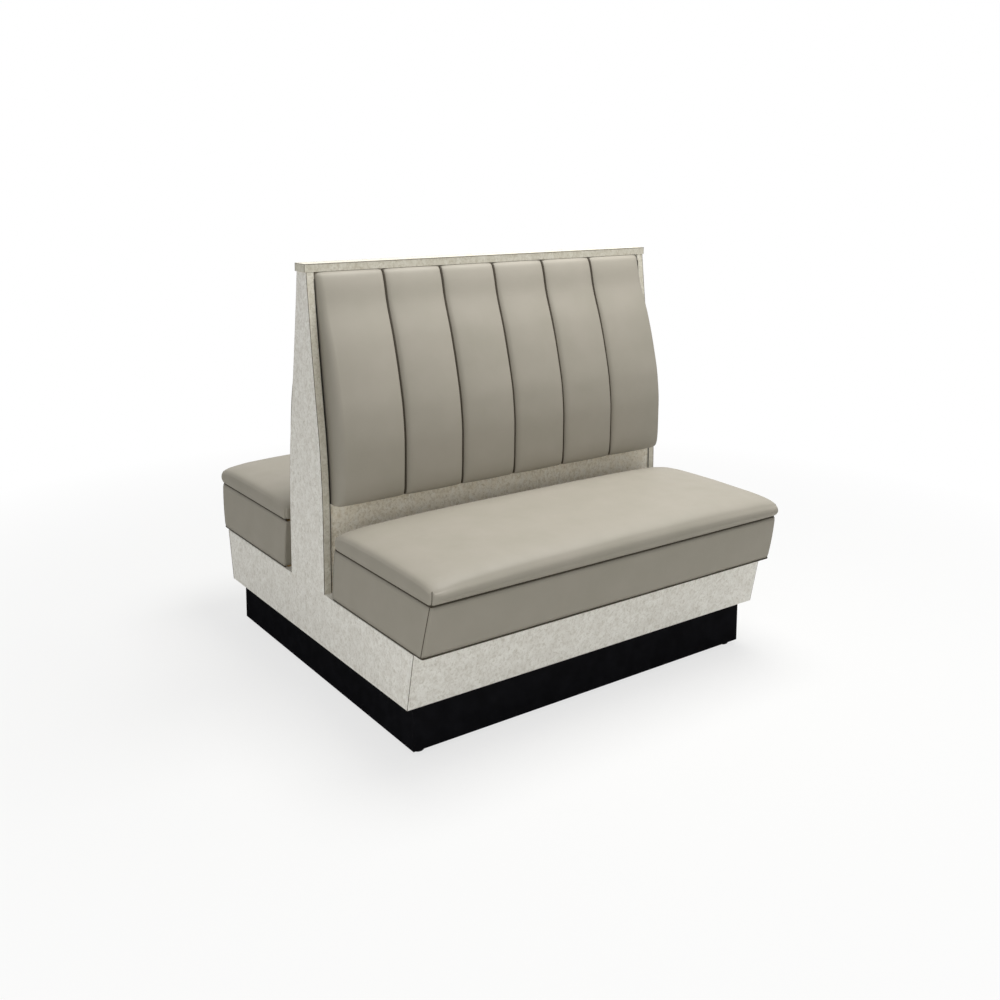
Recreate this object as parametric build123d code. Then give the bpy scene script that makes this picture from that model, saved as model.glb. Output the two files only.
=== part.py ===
from build123d import *
import os

# Double restaurant booth: two upholstered seats, back to back, on one plinth.
# X runs along the booth, the front seat faces -Y and +Z is up. The origin is
# on the floor under the middle. All lengths are in millimetres.

# Heights, from the floor up
glide_height = 12.0
plinth_height = 113.0
base_height = 137.0
seat_box_height = 122.0
seat_crown_height = 67.0
pad_bottom_rise = 224.0
column_height = 785.0
column_straight_rise = 168.0
column_waist_rise = 428.0
cap_thickness = 20.0

# Lengths along X
booth_length = 1092.0
cap_overhang = 4.0
plinth_end_inset = 27.0
seat_box_end_lean = 7.0

# Depths along Y
cap_depth = 52.0
plinth_side_inset = 20.0
base_bottom_depth = 968.0
base_top_depth = 1024.0
seat_inner_offset = 138.0
seat_box_bottom_reach = 543.0
seat_box_top_reach = 570.0
column_foot_half_width = 92.0
column_waist_half_width = 72.0
column_head_half_width = 25.0

# Sheet and board stock
laminate_thickness = 1.2
panel_board = 19.0
toe_board = 15.0
ply_board = 12.0
crumb_board = 15.0
backer_board = 6.0
rib_board = 18.0
box_board = 19.0
platform_board = 15.0
cleat_size = 19.0
top_rail_height = 45.0

# Clearances
soft_gap = 0.3
panel_gap = 0.8
pad_side_gap = 3.0
deck_side_gap = 4.0
deck_front_gap = 6.0

# Upholstery
wrap_padding = 4.0
wrap_end_padding = 11.0
piping_diameter = 5.0
welt_diameter = 5.0
pad_setback = 12.0
pad_skin = 16.0
pad_top_gap = 1.0
pad_fullest_reach = 152.0
channel_crown = 9.0
cushion_skin = 26.0
cushion_bulge = 19.0
insulator_thickness = 2.0

# Seat deck
deck_rail_width = 19.0
deck_rail_height = 44.0
spring_count = 8
spring_wire = 3.8
spring_loop_width = 42.0
spring_pitch = 24.0
clip_thickness = 0.8
clip_length = 12.0
clip_width = 9.0

# Levelling glides
tee_flange_margin = 2.5
glide_pad_radius = 15.0
glide_pad_height = 9.0
glide_pad_chamfer = 1.5
stud_radius = 4.0
stud_length = 44.0
stud_floor = 3.0
thread_gap = 0.06
stud_passage_gap = 1.0
hex_across_flats = 12.7
hex_height = 2.4
tee_flange_radius = 9.5
tee_flange_thickness = 1.2
tee_barrel_radius = 5.2
tee_barrel_length = 11.0
block_size = 44.0
block_height = 60.0

# Screws and brackets
screw_head_radius = 4.0
screw_head_height = 2.6
screw_shank_radius = 2.0
screw_length = 38.0
screw_inset = 70.0
bracket_leg = 40.0
bracket_width = 16.0
bracket_thickness = 2.0

# Places of inner boards and screws, as shares of the clear half length
stretcher_place_shares = (-0.34, 0.34)
bearer_place_shares = (-0.66, 0.0, 0.66)
rib_place_shares = (-0.33, 0.33)
plinth_screw_place_shares = (-0.8, 0.0, 0.8)

# Seams of the six channels and both ends of the pad, as shares of half its length
channel_seam_shares = (-1.0, -0.644, -0.3175, 0.0, 0.3175, 0.644, 1.0)

# Front of the back pad: how far up each level is, how far it reaches before
# the booth's middle plane, and how strongly the channels swell there
pad_rise_shares = (0.0, 0.02, 0.1, 0.24, 0.38, 0.54, 0.7, 0.85, 1.0)
pad_reach_shares = (0.83, 0.94, 0.995, 1.0, 0.955, 0.82, 0.636, 0.405, 0.22)
pad_crown_shares = (0.25, 0.7, 1.0, 1.0, 1.0, 0.95, 0.85, 0.6, 0.25)
foam_rise_shares = (0.04, 0.24, 0.38, 0.54, 0.7, 0.9)
foam_reach_shares = (0.995, 1.0, 0.955, 0.82, 0.636, 0.345)

# Seat cushion: stations along half its length with their height and bulge,
# then the points of each slice, in shares of its depth, height and bulge
station_place_shares = (0.0, 0.5, 0.84, 0.95, 1.0)
station_height_shares = (1.0, 0.98, 0.9, 0.78, 0.54)
station_bulge_shares = (0.8, 0.85, 1.0, 0.9, 0.3)
waist_rise_share = 0.32
temple_rise_share = 0.58
temple_bulge_share = 0.62
turn_rise_share = 0.78
shoulder_rise_share = 0.9
front_turn_share = 0.015
front_shoulder_share = 0.085
rear_turn_share = 0.025
rear_shoulder_share = 0.11

# Levels and faces that several pieces share
base_bottom = glide_height + plinth_height
panel_top = base_bottom + ply_board
base_top = base_bottom + base_height
shelf_bottom = base_top - ply_board
platform_top = base_top + platform_board
box_top = base_top + seat_box_height
pad_bottom = base_top + pad_bottom_rise
crumb_top = pad_bottom - soft_gap
column_top = base_top + column_height
pad_top = column_top - pad_top_gap
cushion_bottom = box_top + welt_diameter + 2 * soft_gap
insulator_bottom = cushion_bottom - insulator_thickness
clip_height = spring_wire + 2 * clip_thickness
deck_top = insulator_bottom - soft_gap - clip_height
deck_bottom = deck_top - deck_rail_height

half_length = booth_length / 2
end_panel_thickness = panel_board + laminate_thickness
inner_half_length = half_length - end_panel_thickness
clear_half_length = inner_half_length - panel_gap
plinth_half_length = half_length - plinth_end_inset
plinth_half_depth = base_bottom_depth / 2 - plinth_side_inset
plinth_inner_reach = plinth_half_depth - toe_board
crumb_face = column_foot_half_width - pad_side_gap - laminate_thickness
crumb_front = crumb_face - laminate_thickness
crumb_back = crumb_front - crumb_board
box_half_length = half_length - wrap_end_padding
box_inner_half_length = box_half_length - box_board
box_inset = wrap_padding + box_board
pad_half_length = inner_half_length - pad_side_gap
deck_half_length = box_inner_half_length - deck_side_gap
deck_near = seat_inner_offset + box_board + deck_side_gap
glide_inset = toe_board + tee_flange_radius + tee_flange_margin


# Small geometry helpers
def between(low, high, share):
    return low + (high - low) * share


def mirrored(shape):
    return mirror(shape, about=Plane.XZ)


def block(low_x, high_x, low_y, high_y, low_z, high_z):
    size = Vector(high_x - low_x, high_y - low_y, high_z - low_z)
    middle = Vector(low_x + high_x, low_y + high_y, low_z + high_z) / 2
    return Pos(middle) * Box(size.X, size.Y, size.Z)


def side_polygon(points):
    return Face(Wire.make_polygon([Vector(0, y, z) for y, z in points], close=True))


def side_slab(face, low_x, high_x):
    # A face drawn in Y and Z, thickened along X.
    return Pos(low_x, 0, 0) * extrude(face, amount=high_x - low_x, dir=(1, 0, 0))


def fascia_reach(z):
    share = (z - base_bottom) / base_height
    return between(base_bottom_depth, base_top_depth, share) / 2


def box_reach(z):
    share = (z - base_top) / seat_box_height
    return between(seat_box_bottom_reach, seat_box_top_reach, share)


def sloping_section(reach, outer_offset, inner_offset, low_z, high_z):
    # A board that follows a leaning front, between two levels.
    low = reach(low_z)
    high = reach(high_z)
    return side_polygon([
        (outer_offset - low, low_z),
        (outer_offset - high, high_z),
        (inner_offset - high, high_z),
        (inner_offset - low, low_z),
    ])


def level_section(reach, outer_offset, back, low_z, high_z):
    # A board that fills the space from a leaning front to an upright back.
    return side_polygon([
        (outer_offset - reach(low_z), low_z),
        (outer_offset - reach(high_z), high_z),
        (-back, high_z),
        (-back, low_z),
    ])


def column_face(offset, back):
    # The front half of the column: upright, then bent in by two arcs.
    foot = Vector(0, offset - column_foot_half_width, base_top)
    start = foot + Vector(0, 0, column_straight_rise)
    waist = Vector(0, offset - column_waist_half_width, base_top + column_waist_rise)
    head = Vector(0, offset - column_head_half_width, column_top)
    lower_arc = Edge.make_tangent_arc(start, Vector(0, 0, 1), waist)
    upper_arc = Edge.make_tangent_arc(waist, lower_arc % 1, head)
    back_head = Vector(0, back, column_top)
    back_foot = Vector(0, back, base_top)
    edges = [
        Edge.make_line(foot, start),
        lower_arc,
        upper_arc,
        Edge.make_line(head, back_head),
        Edge.make_line(back_head, back_foot),
        Edge.make_line(back_foot, foot),
    ]
    return Face(Wire(edges))


def places_along(shares):
    return [clear_half_length * share for share in shares]


# Screws: eighteen alike, six down into the plinth and twelve into the base
def make_screw(x, y, top_z):
    head = Cone(screw_shank_radius, screw_head_radius, screw_head_height)
    shank = Cylinder(screw_shank_radius, screw_length)
    placed_head = Pos(x, y, top_z - screw_head_height / 2) * head
    placed_shank = Pos(x, y, top_z - screw_length / 2) * shank
    return placed_head + placed_shank


def make_plinth_screws():
    y = plinth_half_depth - toe_board / 2
    places = [(x, side * y) for side in (-1, 1) for x in places_along(plinth_screw_place_shares)]
    return [make_screw(x, y, panel_top) for x, y in places]


def make_front_seat_screws():
    near = seat_inner_offset + box_board + screw_inset
    reaches = [fascia_reach(base_top), fascia_reach(base_bottom), box_reach(base_top) - box_inset]
    far = min(reaches) - screw_inset
    places = [(x, -y) for x in places_along(bearer_place_shares) for y in (near, far)]
    return [make_screw(x, y, platform_top) for x, y in places]


def cut_by(shape, tools):
    for tool in tools:
        shape -= tool
    return shape


# Plinth
def glide_places():
    x = plinth_half_length - glide_inset
    y = plinth_half_depth - glide_inset
    return [(-x, -y), (x, -y), (-x, y), (x, y)]


def make_plinth_front_board():
    low_y = -plinth_half_depth
    high_y = low_y + toe_board
    return block(-plinth_half_length, plinth_half_length, low_y, high_y, glide_height, base_bottom)


def make_plinth_cross_board(middle_x):
    low_x = middle_x - toe_board / 2
    high_x = middle_x + toe_board / 2
    return block(low_x, high_x, -plinth_inner_reach, plinth_inner_reach, glide_height, base_bottom)


def make_tee_nut_body(x, y):
    flange = Cylinder(tee_flange_radius, tee_flange_thickness)
    barrel = Cylinder(tee_barrel_radius, tee_barrel_length)
    placed_flange = Pos(x, y, glide_height + tee_flange_thickness / 2) * flange
    return placed_flange + Pos(x, y, glide_height + tee_barrel_length / 2) * barrel


def make_tee_nut(x, y):
    thread = Cylinder(stud_radius + thread_gap, tee_barrel_length)
    return make_tee_nut_body(x, y) - Pos(x, y, glide_height + tee_barrel_length / 2) * thread


def make_corner_block(x, y):
    side_x = 1 if x > 0 else -1
    side_y = 1 if y > 0 else -1
    corner_x = side_x * (plinth_half_length - toe_board)
    corner_y = side_y * plinth_inner_reach
    low_x, high_x = sorted((corner_x, corner_x - side_x * block_size))
    low_y, high_y = sorted((corner_y, corner_y - side_y * block_size))
    wood = block(low_x, high_x, low_y, high_y, glide_height, glide_height + block_height)
    passage = Cylinder(stud_radius + stud_passage_gap, block_height)
    wood -= Pos(x, y, glide_height + block_height / 2) * passage
    return wood - make_tee_nut_body(x, y)


def make_glide_pad(x, y):
    disc = Pos(x, y, glide_pad_height / 2) * Cylinder(glide_pad_radius, glide_pad_height)
    disc = chamfer(disc.edges().filter_by(GeomType.CIRCLE), glide_pad_chamfer)
    socket_depth = glide_pad_height - stud_floor + soft_gap
    socket = Cylinder(stud_radius + soft_gap, socket_depth)
    return disc - Pos(x, y, glide_pad_height - socket_depth / 2) * socket


def make_glide_stud(x, y):
    shank = Pos(x, y, stud_floor + stud_length / 2) * Cylinder(stud_radius, stud_length)
    outline = RegularPolygon(hex_across_flats / 2, 6, major_radius=False)
    return shank + Pos(x, y, glide_pad_height + soft_gap) * extrude(outline, amount=hex_height)


# Base: a box of boards, the fascias leaning out and the end panels upright
def make_bottom_panel():
    reach = fascia_reach(base_bottom) - laminate_thickness - panel_board
    return block(-clear_half_length, clear_half_length, -reach, reach, base_bottom, panel_top)


def make_fascia_board():
    inner = laminate_thickness + panel_board
    section = sloping_section(fascia_reach, laminate_thickness, inner, base_bottom, base_top)
    return side_slab(section, -inner_half_length, inner_half_length)


def make_fascia_laminate():
    section = sloping_section(fascia_reach, 0, laminate_thickness, base_bottom, base_top)
    return side_slab(section, -half_length, half_length)


def make_bearer(middle_x):
    inner = laminate_thickness + panel_board
    section = level_section(fascia_reach, inner, crumb_front, panel_top, shelf_bottom)
    return side_slab(section, middle_x - ply_board / 2, middle_x + ply_board / 2)


def make_shelf():
    inner = laminate_thickness + panel_board
    section = level_section(fascia_reach, inner, crumb_front, shelf_bottom, base_top)
    return side_slab(section, -clear_half_length, clear_half_length)


def panel_shape(column_offset, low_x, high_x):
    # The inverted T of an end panel: a foot over the whole base, one column.
    half_foot = level_section(fascia_reach, laminate_thickness, 0, base_bottom, base_top)
    half = side_slab(half_foot, low_x, high_x)
    half += side_slab(column_face(column_offset, 0), low_x, high_x)
    return half + mirrored(half)


def panel_span(side):
    low_x, high_x = sorted((side * inner_half_length, side * (inner_half_length + panel_board)))
    return low_x, high_x


def make_end_panel(side):
    low_x, high_x = panel_span(side)
    return panel_shape(laminate_thickness, low_x, high_x)


def make_end_laminate(side):
    low_x, high_x = sorted((side * half_length, side * (half_length - laminate_thickness)))
    return panel_shape(0, low_x, high_x)


def make_column_edge_strip(side):
    low_x, high_x = panel_span(side)
    full = side_slab(column_face(0, 0), low_x, high_x)
    return full - side_slab(column_face(laminate_thickness, 0), low_x, high_x)


# Back: crumb boards below, then ribs that carry a bent backer for each pad
def make_crumb_board():
    span = clear_half_length
    return block(-span, span, -crumb_front, -crumb_back, panel_top, crumb_top)


def make_crumb_laminate():
    span = clear_half_length
    return block(-span, span, -crumb_face, -crumb_front, base_top, crumb_top)


def rib_places():
    edge = clear_half_length - rib_board / 2
    return [-edge] + places_along(rib_place_shares) + [edge]


def make_rib(middle_x):
    low_x = middle_x - rib_board / 2
    high_x = middle_x + rib_board / 2
    lower = block(low_x, high_x, -crumb_back, crumb_back, panel_top, crumb_top)
    rail_bottom = column_top - top_rail_height
    front = side_slab(column_face(pad_setback + backer_board, 0), low_x, high_x)
    window = block(low_x, high_x, -column_foot_half_width, 0, crumb_top, rail_bottom)
    upper = front & window
    return lower + upper + mirrored(upper)


def make_bracket(rib_x):
    # A steel angle that ties a back rib to the bottom panel.
    side = -1 if rib_x > 0 else 1
    face_x = rib_x + side * rib_board / 2
    stand_low, stand_high = sorted((face_x, face_x + side * bracket_thickness))
    foot_low, foot_high = sorted((face_x, face_x + side * bracket_leg))
    half_width = bracket_width / 2
    stand = block(stand_low, stand_high, -half_width, half_width, panel_top, panel_top + bracket_leg)
    foot_top = panel_top + bracket_thickness
    return stand + block(foot_low, foot_high, -half_width, half_width, panel_top, foot_top)


def make_top_rail():
    reach = column_head_half_width - pad_setback - backer_board
    low_z = column_top - top_rail_height
    return block(-clear_half_length, clear_half_length, -reach, reach, low_z, column_top)


def make_backer():
    outer = side_slab(column_face(pad_setback, 0), -pad_half_length, pad_half_length)
    inner = side_slab(column_face(pad_setback + backer_board, 0), -pad_half_length, pad_half_length)
    window = block(-pad_half_length, pad_half_length, -column_foot_half_width, 0, pad_bottom, column_top)
    return (outer - inner) & window


# Back pad: foam behind a cover with six crowned channels
def pad_section(rise, reach, crown):
    # One level slice of the pad, with an arc for each channel.
    z = between(pad_bottom, pad_top, rise)
    front = -pad_fullest_reach * reach
    valley = front + channel_crown * crown
    seams = [pad_half_length * share for share in channel_seam_shares]
    edges = []
    for low_x, high_x in zip(seams, seams[1:]):
        peak = Vector((low_x + high_x) / 2, front, z)
        edges.append(Edge.make_three_point_arc(Vector(low_x, valley, z), peak, Vector(high_x, valley, z)))
    corners = [
        Vector(pad_half_length, valley, z),
        Vector(pad_half_length, 0, z),
        Vector(-pad_half_length, 0, z),
        Vector(-pad_half_length, valley, z),
    ]
    for start, end in zip(corners, corners[1:]):
        edges.append(Edge.make_line(start, end))
    return Wire(edges)


def pad_core():
    front = []
    for rise, reach in zip(foam_rise_shares, foam_reach_shares):
        front.append((pad_skin - pad_fullest_reach * reach, between(pad_bottom, pad_top, rise)))
    outline = front + [(0, front[-1][1]), (0, front[0][1])]
    reach_x = pad_half_length - pad_skin
    return side_slab(side_polygon(outline), -reach_x, reach_x)


def pad_backing():
    # All that lies behind the pad's bent back.
    return side_slab(column_face(pad_setback, pad_setback), -half_length, half_length)


def make_pad_foam():
    return pad_core() - pad_backing()


def make_pad_cover():
    table = zip(pad_rise_shares, pad_reach_shares, pad_crown_shares)
    form = Solid.make_loft([pad_section(rise, reach, crown) for rise, reach, crown in table])
    return form - pad_backing() - pad_core()


# Cap
def make_cap_board():
    reach_x = half_length + cap_overhang - laminate_thickness
    reach_y = cap_depth / 2 - laminate_thickness
    high_z = column_top + cap_thickness - laminate_thickness
    return block(-reach_x, reach_x, -reach_y, reach_y, column_top, high_z)


def make_cap_laminate():
    reach_x = half_length + cap_overhang
    reach_y = cap_depth / 2
    high_z = column_top + cap_thickness
    return block(-reach_x, reach_x, -reach_y, reach_y, column_top, high_z) - make_cap_board()


# Seat boxes: fixed, four boards on a platform, wrapped in padded vinyl
def make_platform():
    section = level_section(box_reach, box_inset, seat_inner_offset, base_top, platform_top)
    return side_slab(section, -box_inner_half_length, box_inner_half_length)


def make_box_front():
    section = sloping_section(box_reach, wrap_padding, box_inset, base_top, box_top)
    return side_slab(section, -box_half_length, box_half_length)


def make_box_end(side):
    low_x, high_x = sorted((side * box_inner_half_length, side * box_half_length))
    section = level_section(box_reach, box_inset, seat_inner_offset, base_top, box_top)
    return side_slab(section, low_x, high_x)


def make_box_inner():
    low_y = -seat_inner_offset - box_board
    span = box_inner_half_length
    return block(-span, span, low_y, -seat_inner_offset, platform_top, box_top)


def make_box_cleat(side):
    near_x = side * box_inner_half_length
    low_x, high_x = sorted((near_x, near_x - side * cleat_size))
    low_z = deck_bottom - cleat_size
    section = level_section(box_reach, box_inset, seat_inner_offset + box_board, low_z, deck_bottom)
    return side_slab(section, low_x, high_x)


def box_outline(half, reach, z):
    corners = [
        Vector(-half, -seat_inner_offset, z),
        Vector(-half, -reach, z),
        Vector(half, -reach, z),
        Vector(half, -seat_inner_offset, z),
    ]
    return Wire.make_polygon(corners, close=True)


def make_box_wrap():
    low_z = base_top + piping_diameter + soft_gap
    lean = between(0, seat_box_end_lean, (low_z - base_top) / seat_box_height)
    low = box_outline(half_length - lean, box_reach(low_z), low_z)
    high = box_outline(half_length - seat_box_end_lean, seat_box_top_reach, box_top)
    form = Solid.make_loft([low, high], ruled=True)
    wood = level_section(box_reach, wrap_padding, 0, base_top, box_top)
    return form - side_slab(wood, -box_half_length, box_half_length)


def make_cord_rim(half, reach, z, radius):
    # A round cord along the front and both ends of a seat.
    corners = [
        Vector(-half, -seat_inner_offset, z),
        Vector(-half, -reach, z),
        Vector(half, -reach, z),
        Vector(half, -seat_inner_offset, z),
    ]
    path = FilletPolyline(*corners, radius=2 * radius)
    plane = Plane(origin=path @ 0, z_dir=path % 0)
    return sweep(plane * Circle(radius), path=path)


def make_piping():
    radius = piping_diameter / 2
    z = base_top + soft_gap + radius
    widest = max(box_reach(base_top), box_reach(z + radius))
    reach = widest - wrap_padding + soft_gap + radius
    return make_cord_rim(half_length - radius, reach, z - soft_gap / 2, radius - soft_gap / 2)


def make_seat_welt():
    radius = welt_diameter / 2
    half = half_length - seat_box_end_lean - radius
    return make_cord_rim(half, seat_box_top_reach - radius, box_top + soft_gap + radius, radius)


# Seat decks: each tips up about the rear top edge of its box
def deck_far():
    return min(box_reach(deck_bottom), box_reach(cushion_bottom)) - box_inset - deck_front_gap


def make_deck_rails():
    far = deck_far()
    half = deck_half_length
    inner_half = half - deck_rail_width
    inner_far = far - deck_rail_width
    inner_near = deck_near + deck_rail_width
    return [
        block(-half, half, -far, -inner_far, deck_bottom, deck_top),
        block(-half, half, -inner_near, -deck_near, deck_bottom, deck_top),
        block(-half, -inner_half, -inner_far, -inner_near, deck_bottom, deck_top),
        block(inner_half, half, -inner_far, -inner_near, deck_bottom, deck_top),
    ]


def spring_places():
    reach = deck_half_length - deck_rail_width - spring_loop_width / 2 - clip_width
    step = 2 * reach / (spring_count - 1)
    return [-reach + step * number for number in range(spring_count)]


def spring_ends():
    return deck_near + deck_rail_width / 2, deck_far() - deck_rail_width / 2


def make_spring(middle_x):
    # A zigzag of wire from the rear rail to the front rail, with U bends.
    near, far = spring_ends()
    turns = 2 * int((far - near) / (2 * spring_pitch))
    step = (far - near) / turns
    reach = spring_loop_width / 2
    straight = reach - step / 2
    edges = []
    last = Vector(middle_x + reach, -near)
    for number in range(turns):
        side = -1 if number % 2 == 0 else 1
        y = -near - step * number
        bend_start = Vector(middle_x + side * straight, y)
        bend_middle = Vector(middle_x + side * reach, y - step / 2)
        bend_end = Vector(middle_x + side * straight, y - step)
        edges.append(Edge.make_line(last, bend_start))
        edges.append(Edge.make_three_point_arc(bend_start, bend_middle, bend_end))
        last = bend_end
    edges.append(Edge.make_line(last, Vector(middle_x - reach, -far)))
    outline = Wire(edges).offset_2d(spring_wire / 2, side=Side.BOTH, closed=True)
    return Pos(0, 0, deck_top + clip_thickness / 2) * extrude(Face(outline), amount=spring_wire)


def make_spring_clip(x, y):
    # A steel strap over the end bar of a spring, nailed to the rail.
    half_x = clip_width / 2
    half_y = clip_length / 2
    half_hole = (spring_wire + clip_thickness) / 2
    hole_top = deck_top + spring_wire + clip_thickness
    strap = block(x - half_x, x + half_x, y - half_y, y + half_y, deck_top, deck_top + clip_height)
    return strap - block(x - half_x, x + half_x, y - half_hole, y + half_hole, deck_top, hole_top)


def make_spring_clips():
    return [make_spring_clip(x, -y) for x in spring_places() for y in spring_ends()]


def make_insulator():
    half = deck_half_length
    return block(-half, half, -deck_far(), -deck_near, insulator_bottom, cushion_bottom)


def make_seat_foam():
    half = box_inner_half_length - cushion_skin
    near = seat_inner_offset + cushion_skin
    far = seat_box_top_reach - cushion_skin
    high_z = cushion_bottom + seat_crown_height - cushion_skin
    return block(-half, half, -far, -near, cushion_bottom, high_z)


def cushion_section(x, height_share, bulge_share):
    # A slice across the cushion: bulged front, rounded shoulders, low crown.
    height = seat_crown_height * height_share
    bulge = cushion_bulge * bulge_share
    front = -seat_box_top_reach
    back = -seat_inner_offset
    depth = back - front

    def point(y, rise_share):
        return Vector(x, y, cushion_bottom + height * rise_share)

    front_foot = point(front, 0)
    waist = point(front - bulge, waist_rise_share)
    temple = point(front - bulge * temple_bulge_share, temple_rise_share)
    front_turn = point(front + depth * front_turn_share, turn_rise_share)
    front_shoulder = point(front + depth * front_shoulder_share, shoulder_rise_share)
    crest = point((front + back) / 2, 1)
    rear_shoulder = point(back - depth * rear_shoulder_share, shoulder_rise_share)
    rear_turn = point(back - depth * rear_turn_share, turn_rise_share)
    rear_temple = point(back, temple_rise_share)
    rear_foot = point(back, 0)
    return Wire([
        Edge.make_line(rear_foot, front_foot),
        Edge.make_three_point_arc(front_foot, waist, temple),
        Edge.make_three_point_arc(temple, front_turn, front_shoulder),
        Edge.make_three_point_arc(front_shoulder, crest, rear_shoulder),
        Edge.make_three_point_arc(rear_shoulder, rear_turn, rear_temple),
        Edge.make_line(rear_temple, rear_foot),
    ])


def make_seat_cover():
    half = half_length - seat_box_end_lean
    table = list(zip(station_place_shares, station_height_shares, station_bulge_shares))
    stations = [(-place, height, bulge) for place, height, bulge in reversed(table)]
    stations += table[1:]
    sections = [cushion_section(half * place, height, bulge) for place, height, bulge in stations]
    return Solid.make_loft(sections) - make_seat_foam()


# Writing the nodes
def save(name, *pieces):
    shape = pieces[0] if len(pieces) == 1 else Compound(children=list(pieces))
    export_step(shape, "parts/" + name + ".step")


def save_both_seats(name, *pieces):
    # The same pieces for the front seat and, mirrored, for the rear seat.
    save("front_" + name, *pieces)
    save("rear_" + name, *[mirrored(piece) for piece in pieces])


def with_mirror_image(*pieces):
    return list(pieces) + [mirrored(piece) for piece in pieces]


def build():
    os.makedirs("parts", exist_ok=True)

    plinth_screws = make_plinth_screws()
    seat_screws = with_mirror_image(*make_front_seat_screws())
    save("frame_screws", *plinth_screws, *seat_screws)

    front_board = make_plinth_front_board()
    save("plinth_front_board", cut_by(front_board, plinth_screws))
    save("plinth_rear_board", cut_by(mirrored(front_board), plinth_screws))
    end_middle = plinth_half_length - toe_board / 2
    save("plinth_end_boards", *[make_plinth_cross_board(x) for x in (-end_middle, end_middle)])
    stretcher_places = places_along(stretcher_place_shares)
    save("plinth_stretchers", *[make_plinth_cross_board(x) for x in stretcher_places])
    save("plinth_corner_blocks", *[make_corner_block(x, y) for x, y in glide_places()])
    save("glide_tee_nuts", *[make_tee_nut(x, y) for x, y in glide_places()])
    corner_names = ("front_left", "front_right", "rear_left", "rear_right")
    for name, (x, y) in zip(corner_names, glide_places()):
        save(name + "_glide_pad", make_glide_pad(x, y))
        save(name + "_glide_stud", make_glide_stud(x, y))

    save("base_bottom_panel", cut_by(make_bottom_panel(), plinth_screws))
    save_both_seats("fascia_board", make_fascia_board())
    save("fascia_laminates", *with_mirror_image(make_fascia_laminate()))
    strips = []
    for name, side in (("left", -1), ("right", 1)):
        save(name + "_end_panel", make_end_panel(side))
        save(name + "_end_laminate", make_end_laminate(side))
        strips += with_mirror_image(make_column_edge_strip(side))
    save("column_edge_strips", *strips)
    bearers = with_mirror_image(*[make_bearer(x) for x in places_along(bearer_place_shares)])
    save("seat_bearers", *[cut_by(bearer, seat_screws) for bearer in bearers])
    shelves = with_mirror_image(make_shelf())
    save("base_shelves", *[cut_by(shelf, seat_screws) for shelf in shelves])

    save("crumb_boards", *with_mirror_image(make_crumb_board()))
    save("crumb_laminates", *with_mirror_image(make_crumb_laminate()))
    save("back_ribs", *[make_rib(x) for x in rib_places()])
    save("rib_brackets", *[make_bracket(x) for x in rib_places()])
    save("back_top_rail", make_top_rail())
    save("pad_backers", *with_mirror_image(make_backer()))
    save_both_seats("pad_foam", make_pad_foam())
    save_both_seats("pad_cover", make_pad_cover())
    save("cap_board", make_cap_board())
    save("cap_laminate", make_cap_laminate())

    save_both_seats("seat_platform", cut_by(make_platform(), seat_screws))
    box = [make_box_front(), make_box_inner(), make_box_end(-1), make_box_end(1)]
    save_both_seats("seat_box", *box)
    save("seat_box_cleats", *with_mirror_image(make_box_cleat(-1), make_box_cleat(1)))
    save_both_seats("seat_box_wrap", make_box_wrap())
    save("seat_box_piping", *with_mirror_image(make_piping()))

    save_both_seats("seat_frame", *make_deck_rails())
    save_both_seats("seat_springs", *[make_spring(x) for x in spring_places()])
    save_both_seats("spring_clips", *make_spring_clips())
    save_both_seats("seat_insulator", make_insulator())
    save_both_seats("seat_foam", make_seat_foam())
    save_both_seats("seat_cover", make_seat_cover())
    save_both_seats("seat_welt", make_seat_welt())


build()
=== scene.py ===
import math

import bmesh
import bpy
import numpy as np
from mathutils import Matrix, Vector, noise


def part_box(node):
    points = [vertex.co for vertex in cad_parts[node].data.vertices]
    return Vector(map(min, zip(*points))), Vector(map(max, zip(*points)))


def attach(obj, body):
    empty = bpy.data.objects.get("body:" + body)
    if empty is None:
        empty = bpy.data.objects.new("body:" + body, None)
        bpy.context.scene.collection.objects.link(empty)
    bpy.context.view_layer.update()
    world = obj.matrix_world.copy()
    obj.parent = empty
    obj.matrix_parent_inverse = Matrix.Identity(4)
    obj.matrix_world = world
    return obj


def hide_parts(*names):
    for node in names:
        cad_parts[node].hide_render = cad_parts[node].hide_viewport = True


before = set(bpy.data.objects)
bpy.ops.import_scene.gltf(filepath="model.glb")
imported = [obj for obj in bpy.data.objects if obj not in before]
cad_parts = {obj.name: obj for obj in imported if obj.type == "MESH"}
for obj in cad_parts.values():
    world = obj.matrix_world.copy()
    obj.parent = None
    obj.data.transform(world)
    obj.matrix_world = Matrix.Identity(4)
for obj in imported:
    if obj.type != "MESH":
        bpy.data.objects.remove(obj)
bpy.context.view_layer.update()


# The studio: a pale floor and a white backdrop, a large soft box overhead and a
# weak one on the left, as for a catalogue photograph. The camera stands off the
# booth's near left corner, a little above the cap board.
scene = bpy.context.scene
scene.view_settings.view_transform = "Standard"
camera_place = Vector((-1.7089, -2.4435, 1.2906))
camera_turn = math.radians(35.6773)
camera_dip = math.radians(7.6891)
camera_roll = math.radians(0.2208)
camera_lens = 39.83
camera_sensor = 36.0
camera_shift_y = -0.18
world_light = 0.375
# Each soft box: where it stands, what it is aimed at, its width and its watts
soft_boxes = (
    ("overhead_soft_box", (0.50, -0.40, 2.9), (0.0, -0.25, 0.4), 1.7, 80.0),
    ("left_soft_box", (-3.6, -2.4, 1.2), (0.0, -0.2, 0.4), 1.6, 27.0),
)


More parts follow.
